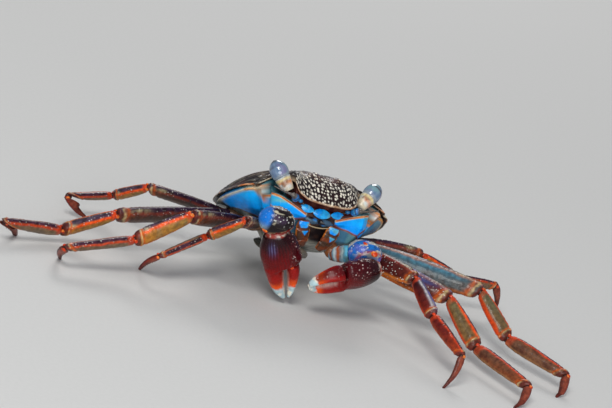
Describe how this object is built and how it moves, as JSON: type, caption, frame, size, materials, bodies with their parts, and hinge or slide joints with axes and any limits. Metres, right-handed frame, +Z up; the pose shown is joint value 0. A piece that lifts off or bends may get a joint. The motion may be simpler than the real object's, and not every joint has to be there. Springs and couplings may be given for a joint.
{
  "type": "sally lightfoot crab",
  "caption": "Young rock-dwelling shore crab standing on its walking legs with its face lifted, stalked eyes out and both claws folded in front of the mouth; a still display model.",
  "frame": {"origin": "on the floor plane, under the middle of the whole crab's box", "axes": "+Z up; the crab faces -Y; +X towards the crab's left side"},
  "size_m": [0.1682, 0.0866, 0.0368],
  "materials": {
    "shell": "near-black maroon shell with cream spots and streaks, semi-gloss",
    "cheek": "azure blue and teal shell edged orange and cream, semi-gloss",
    "belly": "pale shell, satin",
    "claw": "dark maroon and blue claws with red fingers and pale tips, wet gloss",
    "leg": "maroon, olive and teal mottled legs with red-orange joints, semi-gloss",
    "stalk": "pale cream and blue eyestalks and feelers, semi-gloss",
    "cornea": "polished blue-grey corneas",
    "mouth": "brown mouthparts with orange edges, semi-gloss"
  },
  "bodies": {
    "root": {"carapace": "shell", "thorax": "cheek", "abdomen": "belly", "eyestalk_R": "stalk", "cornea_R": "cornea", "antenna_R": "stalk", "maxilliped_R": "mouth", "claw_R_arm": "claw", "claw_R_wrist": "claw", "claw_R_palm": "claw", "claw_R_dactyl": "claw", "eyestalk_L": "stalk", "cornea_L": "cornea", "antenna_L": "stalk", "maxilliped_L": "mouth", "claw_L_arm": "claw", "claw_L_wrist": "claw", "claw_L_palm": "claw", "claw_L_dactyl": "claw", "leg1_R_merus": "leg", "leg1_R_carpus": "leg", "leg1_R_propodus": "leg", "leg1_R_dactyl": "leg", "leg1_L_merus": "leg", "leg1_L_carpus": "leg", "leg1_L_propodus": "leg", "leg1_L_dactyl": "leg", "leg2_R_merus": "leg", "leg2_R_carpus": "leg", "leg2_R_propodus": "leg", "leg2_R_dactyl": "leg", "leg2_L_merus": "leg", "leg2_L_carpus": "leg", "leg2_L_propodus": "leg", "leg2_L_dactyl": "leg", "leg3_R_merus": "leg", "leg3_R_carpus": "leg", "leg3_R_propodus": "leg", "leg3_R_dactyl": "leg", "leg3_L_merus": "leg", "leg3_L_carpus": "leg", "leg3_L_propodus": "leg", "leg3_L_dactyl": "leg", "leg4_R_merus": "leg", "leg4_R_carpus": "leg", "leg4_R_propodus": "leg", "leg4_R_dactyl": "leg", "leg4_L_merus": "leg", "leg4_L_carpus": "leg", "leg4_L_propodus": "leg", "leg4_L_dactyl": "leg"}
  },
  "joints": []
}
